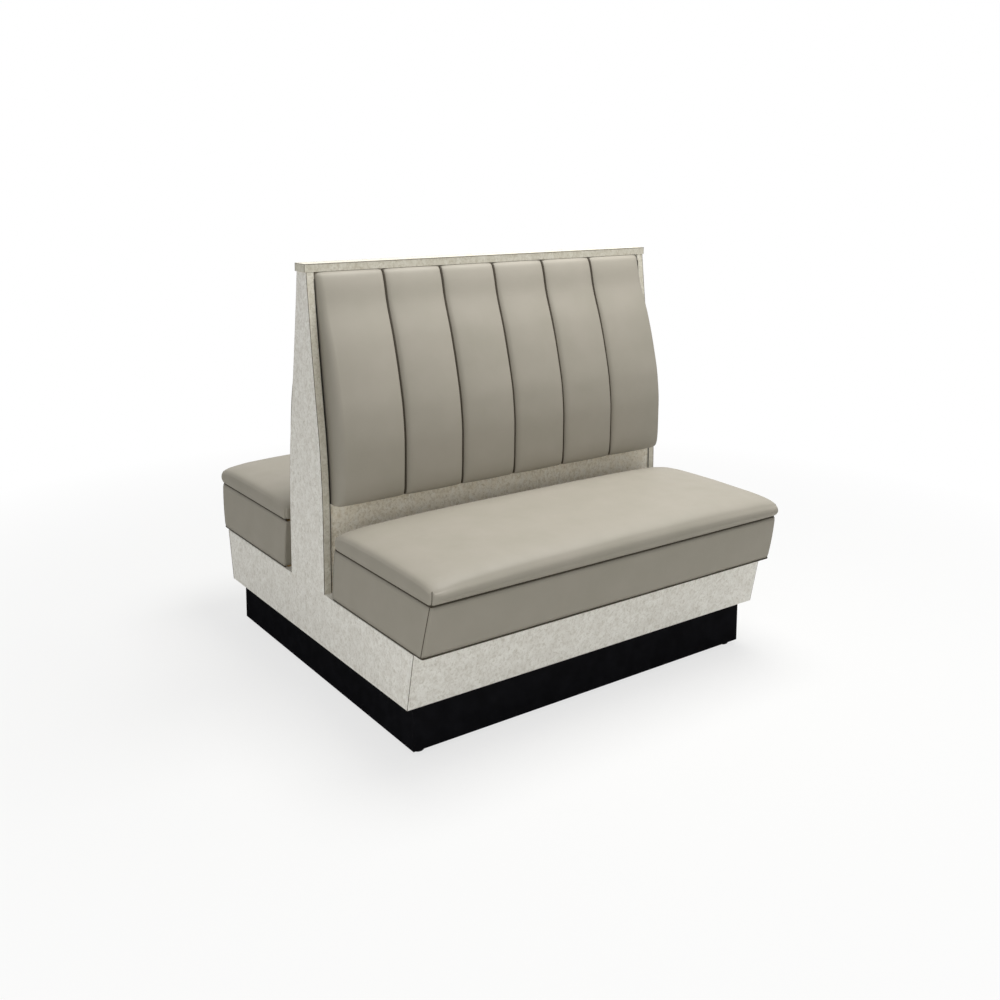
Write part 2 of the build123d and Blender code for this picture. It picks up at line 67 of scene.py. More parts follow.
def linear(code):
    """An sRGB hex colour as linear red, green, blue and alpha."""
    shares = [int(code[start:start + 2], 16) / 255 for start in (0, 2, 4)]
    return [c / 12.92 if c <= 0.04045 else ((c + 0.055) / 1.055) ** 2.4 for c in shares] + [1.0]


def add_node(tree, kind, inputs=None, **settings):
    """Adds a node with its settings, and a value or a link for each named input."""
    node = tree.nodes.new(kind)
    for setting, value in settings.items():
        setattr(node, setting, value)
    for socket, value in (inputs or {}).items():
        if isinstance(value, bpy.types.NodeSocket):
            tree.links.new(value, node.inputs[socket])
        else:
            node.inputs[socket].default_value = value
    return node


ahead = Vector((
    math.sin(camera_turn) * math.cos(camera_dip),
    math.cos(camera_turn) * math.cos(camera_dip),
    -math.sin(camera_dip),
))
level_right = ahead.cross(Vector((0, 0, 1))).normalized()
level_up = level_right.cross(ahead)
camera_right = level_right * math.cos(camera_roll) + level_up * math.sin(camera_roll)
camera_up = level_up * math.cos(camera_roll) - level_right * math.sin(camera_roll)
lens = bpy.data.cameras.new("catalogue_camera")
lens.lens = camera_lens
lens.sensor_width = camera_sensor
lens.shift_y = camera_shift_y
camera = bpy.data.objects.new("catalogue_camera", lens)
turned = Matrix((camera_right, camera_up, -ahead)).transposed().to_4x4()
camera.matrix_world = Matrix.Translation(camera_place) @ turned
scene.collection.objects.link(camera)
scene.camera = camera

for name, stand, target, width, watts in soft_boxes:
    lamp = bpy.data.lights.new(name, "AREA")
    lamp.size = width
    lamp.energy = watts
    soft_box = bpy.data.objects.new(name, lamp)
    soft_box.location = stand
    aim = Vector(target) - Vector(stand)
    soft_box.rotation_euler = aim.to_track_quat("-Z", "Y").to_euler()
    scene.collection.objects.link(soft_box)

# Backdrop: plain white to the eye, in reflections and through glass, and a
# fainter light on the booth itself
world = bpy.data.worlds.new("white_backdrop")
world.use_nodes = True
world.node_tree.nodes.clear()
scene.world = world
rays = add_node(world.node_tree, "ShaderNodeLightPath")
direct = add_node(world.node_tree, "ShaderNodeMath", {
    0: rays.outputs["Is Camera Ray"], 1: rays.outputs["Is Glossy Ray"],
}, operation="MAXIMUM")
seen = add_node(world.node_tree, "ShaderNodeMath", {
    0: direct.outputs[0], 1: rays.outputs["Is Transmission Ray"],
}, operation="MAXIMUM")
brightness = add_node(world.node_tree, "ShaderNodeMapRange", {
    "Value": seen.outputs[0], "To Min": world_light, "To Max": 1.0,
})
backdrop = add_node(world.node_tree, "ShaderNodeBackground", {
    "Color": linear("ffffff"), "Strength": brightness.outputs["Result"],
})
add_node(world.node_tree, "ShaderNodeOutputWorld", {"Surface": backdrop.outputs[0]})

# Floor: matt pale paper. Seen by the camera it turns to plain white away from
# the booth, and keeps the booth's shadow near it.
floor_half = 9.0
fade_near = 0.9
fade_far = 2.4
least_glow = 0.72
corner_signs = [(-1, -1), (1, -1), (1, 1), (-1, 1)]
floor_mesh = bpy.data.meshes.new("studio_floor")
floor_points = [(x * floor_half, y * floor_half, 0) for x, y in corner_signs]
floor_mesh.from_pydata(floor_points, [], [(0, 1, 2, 3)])
floor = bpy.data.objects.new("studio_floor", floor_mesh)
scene.collection.objects.link(floor)
paper = bpy.data.materials.new("matt_white_paper")
paper.use_nodes = True
paper.node_tree.nodes.clear()
matt = add_node(paper.node_tree, "ShaderNodeBsdfDiffuse", {"Color": linear("e4e4e1")})
glow = add_node(paper.node_tree, "ShaderNodeEmission", {
    "Color": linear("ffffff"), "Strength": 1.0,
})
paper_rays = add_node(paper.node_tree, "ShaderNodeLightPath")
paper_place = add_node(paper.node_tree, "ShaderNodeTexCoord").outputs["Object"]
from_middle = add_node(paper.node_tree, "ShaderNodeVectorMath", {
    0: paper_place,
}, operation="LENGTH")
fade = add_node(paper.node_tree, "ShaderNodeMapRange", {
    "Value": from_middle.outputs["Value"],
    "From Min": fade_near, "From Max": fade_far, "To Min": least_glow,
})
glow_share = add_node(paper.node_tree, "ShaderNodeMath", {
    0: paper_rays.outputs["Is Camera Ray"], 1: fade.outputs["Result"],
}, operation="MULTIPLY")
both = add_node(paper.node_tree, "ShaderNodeMixShader", {
    0: glow_share.outputs[0], 1: matt.outputs[0], 2: glow.outputs[0],
})
add_node(paper.node_tree, "ShaderNodeOutputMaterial", {"Surface": both.outputs[0]})
floor_mesh.materials.append(paper)


# Levelling glides: black nylon feet on zinc-plated steel studs, screwed up into
# tee nuts in the plinth's corner blocks. The same plating is on the wood screws
# and on the angles that hold the back ribs.
def new_finish(name, roughness, ior=1.5, metallic=0.0):
    """A material with its node tree, its shader and a place on the object."""
    finish = bpy.data.materials.new(name)
    finish.use_nodes = True
    tree = finish.node_tree
    shader = tree.nodes["Principled BSDF"]
    shader.inputs["Roughness"].default_value = roughness
    shader.inputs["IOR"].default_value = ior
    shader.inputs["Metallic"].default_value = metallic
    place = add_node(tree, "ShaderNodeTexCoord").outputs["Object"]
    return finish, tree, shader, place


def dress(finish, *names):
    """Puts a finish on carried-over nodes."""
    for name in names:
        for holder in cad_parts[name].material_slots:
            holder.material = finish


def speckled(tree, place, size, first, second, low=0.3, high=0.7, detail=3.0):
    """A colour that wanders between two, in spots of a real size in metres."""
    spots = add_node(tree, "ShaderNodeTexNoise", {
        "Vector": place, "Scale": 1 / size, "Detail": detail,
    })
    share = add_node(tree, "ShaderNodeMapRange", {
        "Value": spots.outputs["Fac"], "From Min": low, "From Max": high,
    })
    return add_node(tree, "ShaderNodeMix", {
        0: share.outputs["Result"], 6: linear(first), 7: linear(second),
    }, data_type="RGBA").outputs[2]


def textured(tree, shader, place, size, height, strength, detail=2.0):
    """A fine relief on the shader, its grain and its height in metres."""
    grain = add_node(tree, "ShaderNodeTexNoise", {
        "Vector": place, "Scale": 1 / size, "Detail": detail,
    })
    relief = add_node(tree, "ShaderNodeBump", {
        "Height": grain.outputs["Fac"], "Distance": height, "Strength": strength,
    })
    tree.links.new(relief.outputs["Normal"], shader.inputs["Normal"])


corner_names = ("front_left", "front_right", "rear_left", "rear_right")
# Moulded nylon: near black, matt, with a fine spark-eroded grain
nylon, tree, shader, place = new_finish("moulded_black_nylon", roughness=0.55, ior=1.53)
tint = speckled(tree, place, size=0.002, first="141415", second="1c1c1d")
tree.links.new(tint, shader.inputs["Base Color"])
textured(tree, shader, place, size=0.0006, height=0.0002, strength=0.4)
dress(nylon, *[name + "_glide_pad" for name in corner_names])
# Bright zinc plating on turned and stamped steel: faintly cloudy
zinc, tree, shader, place = new_finish("zinc_plated_steel", roughness=0.34, metallic=1.0)
tint = speckled(tree, place, size=0.004, first="b9bcbe", second="c9cac8")
tree.links.new(tint, shader.inputs["Base Color"])
textured(tree, shader, place, size=0.0008, height=0.0001, strength=0.3)
dress(zinc, "frame_screws", "rib_brackets", "glide_tee_nuts")
dress(zinc, *[name + "_glide_stud" for name in corner_names])


# Plinth: a recessed toe kick of boards lacquered black, stiffened by plywood
# stretchers and by hardwood blocks in its corners.

# Matt black lacquer of low gloss: it takes hardly any reflection, and has the
# slight cloudiness of scuffs from shoes
scuff_size = 0.018
toe_black, tree, shader, place = new_finish("matt_black_lacquer", roughness=0.5, ior=1.01)
shader.inputs["Specular IOR Level"].default_value = 0.3
tint = speckled(tree, place, size=0.03, first="141416", second="1a1a1d",
                low=0.35, high=0.75, detail=5.0)
tree.links.new(tint, shader.inputs["Base Color"])
wear = add_node(tree, "ShaderNodeTexNoise", {
    "Vector": place, "Scale": 1 / scuff_size, "Detail": 4.0,
})
scuffs = add_node(tree, "ShaderNodeMapRange", {
    "Value": wear.outputs["Fac"],
    "From Min": 0.35, "From Max": 0.75, "To Min": 0.42, "To Max": 0.6,
})
tree.links.new(scuffs.outputs["Result"], shader.inputs["Roughness"])
textured(tree, shader, place, size=0.001, height=0.0001, strength=0.3)
dress(toe_black, "plinth_front_board", "plinth_rear_board", "plinth_end_boards")

# Wood stock, all left bare: its two tones, the width of its grain, and how many
# times as long as wide the grain is along the booth. Pressed boards have none.
wood_stock = (
    ("birch_plywood", "cfae7e", "b08c5c", 0.004, 10.0, (
        "plinth_stretchers", "base_bottom_panel", "seat_bearers", "back_ribs",
        "back_top_rail", "crumb_boards", "front_seat_platform", "rear_seat_platform",
    )),
    ("poplar_hardwood", "b3945f", "8d6f43", 0.006, 10.0, (
        "plinth_corner_blocks", "front_seat_box", "rear_seat_box", "seat_box_cleats",
        "front_seat_frame", "rear_seat_frame",
    )),
    ("pressed_chipboard", "c2a474", "94754a", 0.003, 1.0, (
        "front_fascia_board", "rear_fascia_board", "cap_board",
    )),
    ("tempered_hardboard", "7d5b3b", "694a2e", 0.0015, 1.0, ("pad_backers",)),
)
for name, light, dark, grain_width, grain_length, nodes in wood_stock:
    wood, tree, shader, place = new_finish(name, roughness=0.62)
    along = add_node(tree, "ShaderNodeMapping", {
        "Vector": place, "Scale": (1 / grain_length, 1.0, 1.0),
    }).outputs["Vector"]
    tint = speckled(tree, along, size=grain_width, first=light, second=dark, detail=6.0)
    tree.links.new(tint, shader.inputs["Base Color"])
    textured(tree, shader, along, size=grain_width / 2, height=0.0004, strength=0.5, detail=4.0)
    dress(wood, *nodes)


# Base and end panels: boards under high-pressure laminate with a pale mottled
# stone look. The fascias lean out under the seats, and each end panel is an
# upside-down T whose column has a lipping on both edges.

# High-pressure laminate: printed paper under clear melamine, satin. The decor's
# clouds, blotches and flecks are about a sixth longer up the sheet than across.
cloud_size = 0.022
blotch_size = 0.0075
fleck_size = 0.0025
upright_scale = 0.85
# Each tone of the decor: its ground, its cloud and its fleck, then its roughness.
# The strip under the pads is lighter and warmer: painted light, for the warm light
# that the seats throw up under the pads. The lippings and the cap are darker:
# painted shade, which dims them.
laminate_kinds = (
    ("stone_look_laminate", "f7f5ee", "ece9e1", "c4beb0", 0.45, (
        "fascia_laminates", "left_end_laminate", "right_end_laminate", "base_shelves",
    )),
    # Painted light: a lighter, warmer tone for the light thrown up from the seats
    ("painted_bounce_light_laminate", "fffaec", "f8f0dd", "c6b99c", 0.45, ("crumb_laminates",)),
    # Painted shade: a darker tone that dims the lippings and the cap
    ("painted_shade_lipping_and_cap", "d8d4c6", "ccc7b7", "ada58f", 0.48, (
        "column_edge_strips", "cap_laminate",
    )),
    ("pale_board_face", "f2f0e9", "e6e3da", "cbc5b8", 0.48, (
        "left_end_panel", "right_end_panel",
    )),
)
for name, ground, cloud, fleck, roughness, nodes in laminate_kinds:
    laminate, tree, shader, place = new_finish(name, roughness)
    upright = add_node(tree, "ShaderNodeMapping", {
        "Vector": place, "Scale": (1.0, 1.0, upright_scale),
    }).outputs["Vector"]
    clouds = speckled(tree, upright, size=cloud_size, first=ground, second=cloud,
                      low=0.38, high=0.62, detail=4.0)
    blotches = add_node(tree, "ShaderNodeTexNoise", {
        "Vector": upright, "Scale": 1 / blotch_size,
        "Detail": 4.0, "Roughness": 0.62, "Distortion": 0.8,
    })
    blotch_share = add_node(tree, "ShaderNodeMapRange", {
        "Value": blotches.outputs["Fac"], "From Min": 0.45, "From Max": 0.7, "To Max": 0.7,
    })
    mottled = add_node(tree, "ShaderNodeMix", {
        0: blotch_share.outputs["Result"], 6: clouds, 7: linear(fleck),
    }, data_type="RGBA").outputs[2]
    flecks = add_node(tree, "ShaderNodeTexNoise", {
        "Vector": upright, "Scale": 1 / fleck_size, "Detail": 2.0,
    })
    fleck_share = add_node(tree, "ShaderNodeMapRange", {
        "Value": flecks.outputs["Fac"], "From Min": 0.55, "From Max": 0.72, "To Max": 0.3,
    })
    decor = add_node(tree, "ShaderNodeMix", {
        0: fleck_share.outputs["Result"], 6: mottled, 7: linear(fleck),
    }, data_type="RGBA").outputs[2]
    tree.links.new(decor, shader.inputs["Base Color"])
    textured(tree, shader, place, size=0.0015, height=0.0001, strength=0.25)
    dress(laminate, *nodes)


# Laminate joints: the brown core of each sheet shows as a fine line where one
# sheet laps another, at the base's corners, beside the column lippings and
# round the cap board.
booth_half_length = 0.546
base_bottom_z = 0.125
base_top_z = 0.262
fascia_low_reach = 0.484
fascia_high_reach = 0.512
column_bend_z = 0.430
column_waist_z = 0.690
column_top_z = 1.047
column_foot_reach = 0.092
column_waist_reach = 0.072
column_slope = 0.1548
column_head_bend = 0.0649
cap_half_length = 0.550
cap_half_depth = 0.026
cap_top_z = 1.067
sheet_thickness = 0.0012
joint_radius = 0.0008
fine_cord_sides = 6
column_points = 48


def column_reach(z):
    """How far the column's edge stands from the middle plane at a height."""
    if z <= column_bend_z:
        return column_foot_reach
    if z <= column_waist_z:
        rise = (z - column_bend_z) / (column_waist_z - column_bend_z)
        return column_foot_reach - (column_foot_reach - column_waist_reach) * rise ** 2
    rise = z - column_waist_z
    return column_waist_reach - column_slope * rise + column_head_bend * rise ** 2


def cord_maker():
    """A node tree that turns lines into round cords of one finish."""
    tree = bpy.data.node_groups.new("cord_along_lines", "GeometryNodeTree")
    sockets = tree.interface
    sockets.new_socket("Lines", in_out="INPUT", socket_type="NodeSocketGeometry")
    sockets.new_socket("Radius", in_out="INPUT", socket_type="NodeSocketFloat")
    sockets.new_socket("Sides", in_out="INPUT", socket_type="NodeSocketInt")
    sockets.new_socket("Finish", in_out="INPUT", socket_type="NodeSocketMaterial")
    sockets.new_socket("Cords", in_out="OUTPUT", socket_type="NodeSocketGeometry")
    given = add_node(tree, "NodeGroupInput").outputs
    lines = add_node(tree, "GeometryNodeMeshToCurve", {"Mesh": given["Lines"]})
    ring = add_node(tree, "GeometryNodeCurvePrimitiveCircle", {
        "Resolution": given["Sides"], "Radius": given["Radius"],
    })
    cords = add_node(tree, "GeometryNodeCurveToMesh", {
        "Curve": lines.outputs[0], "Profile Curve": ring.outputs[0], "Fill Caps": True,
    })
    smooth = add_node(tree, "GeometryNodeSetShadeSmooth", {"Geometry": cords.outputs[0]})
    real = add_node(tree, "GeometryNodeRealizeInstances", {"Geometry": smooth.outputs[0]})
    finished = add_node(tree, "GeometryNodeSetMaterial", {
        "Geometry": real.outputs[0], "Material": given["Finish"],
    })
    add_node(tree, "NodeGroupOutput", {"Cords": finished.outputs[0]})
    return tree


cord_tree = cord_maker()


def make_cords(name, lines, radius, sides, finish):
    """One mesh of round cords that follow the given lines."""
    points = []
    edges = []
    for line in lines:
        edges += [(len(points) + step, len(points) + step + 1) for step in range(len(line) - 1)]
        points += [[float(c) for c in point] for point in line]
    mesh = bpy.data.meshes.new(name)
    mesh.from_pydata(points, edges, [])
    carrier = bpy.data.objects.new(name, mesh)
    scene.collection.objects.link(carrier)
    maker = carrier.modifiers.new("cords", "NODES")
    maker.node_group = cord_tree
    values = {"Radius": radius, "Sides": sides, "Finish": finish}
    for socket in cord_tree.interface.items_tree:
        if socket.in_out == "INPUT" and socket.name in values:
            maker[socket.identifier] = values[socket.name]
    graph = bpy.context.evaluated_depsgraph_get()
    made = bpy.data.meshes.new_from_object(carrier.evaluated_get(graph))
    carrier.modifiers.remove(maker)
    carrier.data = made
    return carrier


def in_mirror(line):
    """The same line on the other half of the booth."""
    return [(x, -y, z) for x, y, z in line]


# Phenolic core: pressed brown paper, dark and nearly matt
core, tree, shader, place = new_finish("phenolic_core_edge", roughness=0.6)
tint = speckled(tree, place, size=0.003, first="6a6154", second="554d42")
tree.links.new(tint, shader.inputs["Base Color"])
half_sheet = sheet_thickness / 2
column_levels = np.linspace(base_top_z, column_top_z, column_points)
joint_lines = []
for end in (-1, 1):
    lipping_x = end * (booth_half_length - half_sheet)
    beside_lipping = [(lipping_x, -column_reach(z), z) for z in column_levels]
    base_corner = [
        (end * booth_half_length, half_sheet - fascia_low_reach, base_bottom_z),
        (end * booth_half_length, half_sheet - fascia_high_reach, base_top_z),
    ]
    cap_corner = [
        (end * cap_half_length, half_sheet - cap_half_depth, z)
        for z in (column_top_z, cap_top_z - sheet_thickness)
    ]
    for line in (beside_lipping, base_corner, cap_corner):
        joint_lines += [line, in_mirror(line)]
cap_rim_z = cap_top_z - half_sheet
cap_rim = [(x * cap_half_length, y * cap_half_depth, cap_rim_z) for x, y in corner_signs]
joint_lines.append(cap_rim + cap_rim[:1])
joints = make_cords("laminate_joint_lines", joint_lines, joint_radius, fine_cord_sides, core)
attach(joints, "root")

# Black cord in the angle between each lipping and the upholstery or board beside
# it, up to just under the cap: painted shade for the shadow in the gap there,
# smooth and satin
gap_shade_x = 0.526
gap_shade_radius = 0.0011
gap_shade, tree, shader, place = new_finish("black_painted_gap_shade", roughness=0.5)
tint = speckled(tree, place, size=0.004, first="241f18", second="1c1812")
tree.links.new(tint, shader.inputs["Base Color"])
gap_shade_lines = []
for end in (-1, 1):
    line = [(end * gap_shade_x, -column_reach(z), z) for z in column_levels[:-1]]
    gap_shade_lines += [line, in_mirror(line)]
gap_shade_cords = make_cords("column_edge_gap_shade", gap_shade_lines, gap_shade_radius, fine_cord_sides, gap_shade)
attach(gap_shade_cords, "root")


# Back pads: foam on a bent backer under vinyl, sewn into six upright channels.
# Each pad is fullest low down, thins towards the cap, and turns under at its
# bottom edge; its seams are drawn in as grooves, and a dark cord in each is
# painted shade, so they read as dark lines.
def vinyl_finish(name, light, dark, least_roughness, most_roughness):
    """Upholstery vinyl: a satin skin on knit backing, its gloss uneven in patches,
    with an embossed grain of about 1 mm that is drawn at 2 mm to show."""
    patch_size = 0.05
    pebble_size = 0.002
    finish, tree, shader, place = new_finish(name, least_roughness, ior=1.48)
    tint = speckled(tree, place, size=0.09, first=light, second=dark, detail=4.0)
    tree.links.new(tint, shader.inputs["Base Color"])
    patches = add_node(tree, "ShaderNodeTexNoise", {
        "Vector": place, "Scale": 1 / patch_size, "Detail": 3.0,
    })
    satin = add_node(tree, "ShaderNodeMapRange", {
        "Value": patches.outputs["Fac"], "From Min": 0.3, "From Max": 0.7,
        "To Min": least_roughness, "To Max": most_roughness,
    })
    tree.links.new(satin.outputs["Result"], shader.inputs["Roughness"])
    pebbles = add_node(tree, "ShaderNodeTexVoronoi", {
        "Vector": place, "Scale": 1 / pebble_size,
    }, feature="SMOOTH_F1")
    relief = add_node(tree, "ShaderNodeBump", {
        "Height": pebbles.outputs["Distance"], "Distance": 0.0003, "Strength": 0.22,
    }, invert=True)
    tree.links.new(relief.outputs["Normal"], shader.inputs["Normal"])
    return finish


vinyl = vinyl_finish("greige_upholstery_vinyl", "9d978b", "989386", 0.58, 0.66)
# Dark cord colour for the piping, the welt, the darts and the stitching, and painted shade where
# it lies in the pad's seams
dark_cord_and_seam_shade = vinyl_finish("dark_vinyl_cord_and_painted_seam_shade", "3d3526", "332c1f", 0.6, 0.68)


def eased(places, values, wanted):
    """A smooth line through a table, which never overshoots its values."""
    places, values, wanted = (np.asarray(item, float) for item in (places, values, wanted))
    steps = np.diff(places)
    slopes = np.diff(values) / steps
    tangents = np.concatenate([slopes[:1], np.zeros(len(slopes) - 1), slopes[-1:]])
    for knot in range(1, len(slopes)):
        before, after = slopes[knot - 1], slopes[knot]
        if before * after > 0:
            tangents[knot] = 2 * before * after / (before + after)
    wanted = np.clip(wanted, places[0], places[-1])
    knot = np.clip(np.searchsorted(places, wanted) - 1, 0, len(steps) - 1)
    t = (wanted - places[knot]) / steps[knot]
    leaving = values[knot] * (1 + 2 * t) + tangents[knot] * steps[knot] * t
    reaching = values[knot + 1] * (3 - 2 * t) - tangents[knot + 1] * steps[knot] * (1 - t)
    return leaving * (1 - t) ** 2 + reaching * t ** 2


def ringed_form(name, rings, finish, last_cap=True):
    """A closed mesh through loops of points, each loop joined to the next. The
    last loop gets no cap where it has drawn together to a seam."""
    merge_distance = 0.00002
    count = len(rings[0])
    faces = []
    for row in range(len(rings) - 1):
        low = row * count
        high = low + count
        for step in range(count):
            after = (step + 1) % count
            faces.append((low + step, low + after, high + after, high + step))
    faces.append(tuple(range(count)))
    if last_cap:
        faces.append(tuple(range((len(rings) - 1) * count, len(rings) * count)))
    mesh = bpy.data.meshes.new(name)
    mesh.from_pydata(np.concatenate(rings).tolist(), [], faces)
    form = bmesh.new()
    form.from_mesh(mesh)
    bmesh.ops.remove_doubles(form, verts=form.verts, dist=merge_distance)
    bmesh.ops.recalc_face_normals(form, faces=form.faces)
    for face in form.faces:
        face.smooth = True
    form.to_mesh(mesh)
    form.free()
    mesh.materials.append(finish)
    piece = bpy.data.objects.new(name, mesh)
    scene.collection.objects.link(piece)
    return piece


pad_half_length = 0.5228
pad_bottom_z = 0.486
pad_top_z = 1.046
pad_end_radius = 0.020
pad_edge_x = pad_half_length - pad_end_radius
# The pad's section: its reach at shares of its height, as shares of the fullest
pad_fullest_reach = 0.152
pad_rise_shares = (0.0, 0.008, 0.02, 0.05, 0.1, 0.24, 0.38, 0.54, 0.7, 0.85, 0.985, 1.0)
pad_reach_shares = (
    0.83, 0.895, 0.94, 0.975, 0.995, 1.0, 0.955, 0.82, 0.636, 0.405, 0.235, 0.18,
)
# The backer's face, on which the pad is closed
pad_back_levels = (pad_bottom_z, 0.56, 0.63, 0.69, 0.78, 0.87, 0.96, pad_top_z)
pad_back_reaches = (0.0796, 0.0755, 0.0687, 0.0605, 0.0471, 0.0347, 0.0235, 0.0136)
# The channels: how far each one falls away from its middle, and its seam's groove
channel_seams = (-pad_half_length, -0.3366, -0.1660, 0.0, 0.1660, 0.3366, pad_half_length)
channel_crown = 0.0115
crown_fullness = 2.3
crown_rise_shares = (0.0, 0.02, 0.1, 0.38, 0.54, 0.7, 0.85, 1.0)
crown_strengths = (0.3, 0.7, 1.0, 1.0, 0.95, 0.85, 0.6, 0.3)
seam_depth = 0.0105
seam_width = 0.0058
channel_steps = 30
end_steps = 10
# Firm foam is uneven by half a millimetre or so, in waves of about 100 mm, which
# are read from one slice of a noise
pad_unevenness = 0.0006
pad_waves = 9.0
pad_wave_slice = 4.0


def pad_level(rise):
    """The height of a share of the pad's rise."""
    return pad_bottom_z + (pad_top_z - pad_bottom_z) * rise


def pad_front(x, rise):
    """The reach of the pad's face at a place along it and a share of its rise."""
    seams = np.array(channel_seams)
    number = np.clip(np.searchsorted(seams, x, side="right") - 1, 0, len(seams) - 2)
    width = seams[number + 1] - seams[number]
    across = 2 * (x - seams[number]) / width - 1
    from_seam = (1 - np.abs(across)) * width / 2
    inner = np.abs(x) < pad_half_length - width / 4
    groove = np.where(inner, seam_depth * np.exp(-(from_seam / seam_width) ** 2), 0)
    fall = channel_crown * np.abs(across) ** crown_fullness
    relief = eased(crown_rise_shares, crown_strengths, rise) * (fall + groove)
    return pad_fullest_reach * eased(pad_rise_shares, pad_reach_shares, rise) - relief


def channel_places():
    """Places across the pad, closer together near the seams and the ends."""
    least_gap = 0.001
    spread = np.sin(np.linspace(-math.pi / 2, math.pi / 2, channel_steps + 1)) * 0.5 + 0.5
    places = [
        near + (far - near) * spread[:-1]
        for near, far in zip(channel_seams, channel_seams[1:])
    ]
    every = np.concatenate(places + [[pad_half_length]])
    return every[np.abs(every) < pad_edge_x - least_gap]


# Levels up the pad, closer together where it turns under and below the cap
pad_rises = np.concatenate([
    [0, 0.004, 0.009, 0.015, 0.022, 0.032, 0.045],
    np.linspace(0.06, 0.965, 44),
    [0.975, 0.983, 0.99, 0.995, 1.0],
])
end_angles = np.radians(np.linspace(0, 90, end_steps + 1))
turn_share = 0.7
face_places = channel_places()
turn_x = pad_edge_x + pad_end_radius * np.cos(end_angles)
pad_places = np.concatenate([
    [-pad_half_length], -turn_x, face_places, turn_x[::-1], [pad_half_length],
])
pad_rings = []
for rise in pad_rises:
    z = pad_level(rise)
    back = float(eased(pad_back_levels, pad_back_reaches, z))
    edge_reach = float(pad_front(np.array([pad_edge_x]), rise)[0])
    turn_depth = min(pad_end_radius, turn_share * (edge_reach - back))
    turn_y = edge_reach - turn_depth * (1 - np.sin(end_angles))
    face_y = pad_front(face_places, rise)
    reaches = np.concatenate([[back], turn_y, face_y, turn_y[::-1], [back]])
    reaches = np.maximum(reaches, back)
    bumps = [
        pad_unevenness * noise.noise((x * pad_waves, pad_wave_slice, z * pad_waves))
        for x in pad_places
    ]
    reaches[1:-1] += np.array(bumps)[1:-1]
    pad_rings.append(np.stack([pad_places, -reaches, np.full(len(reaches), z)], axis=1))

booth_sides = (("front", 1), ("rear", -1))
for side, flip in booth_sides:
    rings = [ring * (1, flip, 1) for ring in pad_rings]
    pad = ringed_form(side + "_back_pad", rings, vinyl)
    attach(pad, "root")
    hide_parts(side + "_pad_cover", side + "_pad_foam")

# Channel seams: a dark cord laid in the fold between each two channels, painted
# shade for the shadow in the fold, from just above the pad's turned edge to just
# below the cap
seam_shade_radius = 0.0034
seam_rise = 0.0012
seam_shade_lines = []
for x in channel_seams[1:-1]:
    line = []
    for rise in pad_rises[2:-1]:
        reach = pad_front(np.array([x]), rise)[0]
        line.append((x, -reach - seam_rise, pad_level(rise)))
    seam_shade_lines += [line, in_mirror(line)]
seam_shade_cords = make_cords(
    "back_pad_painted_seam_shade", seam_shade_lines, seam_shade_radius, fine_cord_sides, dark_cord_and_seam_shade)
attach(seam_shade_cords, "root")


# Seat boxes: hardwood boxes on the base, wrapped in lightly padded vinyl that
# leans out towards the top. A dark piping closes the bottom edge, and a sewn
# seam stands on each front corner.
seat_near = 0.138
band_rear = 0.1362
box_low_z = 0.2663
box_high_z = 0.3844
box_low_half = 0.546
box_high_half = 0.539
box_low_reach = 0.543
box_high_reach = 0.570
box_corner_radius = 0.010
wood_half = 0.5353
wood_setback = 0.0039
wood_corner_radius = 0.002
# The padding: how far it swells, and is drawn in by its top and bottom stitching
band_puff = 0.0012
band_tuck = 0.0009
tuck_share = 0.03
band_unevenness = 0.0006
band_waves = 14.0
band_upright_waves = 10.0
band_rows = 13
band_long_steps = 110
band_short_steps = 44
corner_steps = 10
rear_steps = 40
rear_corner_gap = 0.004


def three_sides(half, reach, radius, long_steps, short_steps, back=None):
    """Places along one end, the front and the other end, with rounded corners,
    and with back given, also round the rear corners to the middle of the rear."""
    turns = np.radians(np.linspace(0, 90, corner_steps + 1))
    near = seat_near if back is None else back
    left = [(-half, -y) for y in np.linspace(near, reach - radius, short_steps + 1)[:-1]]
    if back is not None:
        inward = np.linspace(0, -half + rear_corner_gap, rear_steps + 1)
        left = [(x, -near) for x in inward] + left
    corner = [
        (-half + radius * (1 - math.cos(a)), -(reach - radius + radius * math.sin(a)))
        for a in turns
    ]
    span = np.linspace(-half + radius, half - radius, long_steps + 1)[1:-1]
    middle = [(x, -reach) for x in span]
    right_corner = [(-x, y) for x, y in reversed(corner)]
    right = [(-x, y) for x, y in reversed(left)]
    return np.array(left + corner + middle + right_corner + right)


outer_rows = []
inner_rows = []
for share in np.linspace(0, 1, band_rows):
    z = box_low_z + (box_high_z - box_low_z) * share
    full_share = (z - base_top_z) / (box_high_z - base_top_z)
    half = box_low_half + (box_high_half - box_low_half) * full_share
    reach = box_low_reach + (box_high_reach - box_low_reach) * full_share
    edge = min(share, 1 - share)
    puff = band_puff * math.sin(math.pi * share) - band_tuck * math.exp(-(edge / tuck_share) ** 2)
    outer = three_sides(half + puff, reach + puff, box_corner_radius,
                        band_long_steps, band_short_steps, back=band_rear)
    inner = three_sides(wood_half, reach - wood_setback, wood_corner_radius,
                        band_long_steps, band_short_steps, back=seat_near)
    outer_rows.append(np.column_stack([outer, np.full(len(outer), z)]))
    inner_rows.append(np.column_stack([inner, np.full(len(inner), z)]))
outer_rows = np.array(outer_rows)
inner_rows = np.array(inner_rows)
for row in outer_rows:
    for point in row[1:-1]:
        x, y, z = point
        wave_place = (x * band_waves, y * band_waves, z * band_upright_waves)
        point[1] -= band_unevenness * noise.noise(wave_place)
band_rings = [
    np.concatenate([outer_rows[:, column], inner_rows[::-1, column]])
    for column in range(outer_rows.shape[1])
]
for side, flip in booth_sides:
    rings = [ring * (1, flip, 1) for ring in band_rings]
    band = ringed_form(side + "_seat_box_band", rings, vinyl)
    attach(band, "root")
    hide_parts(side + "_seat_box_wrap")

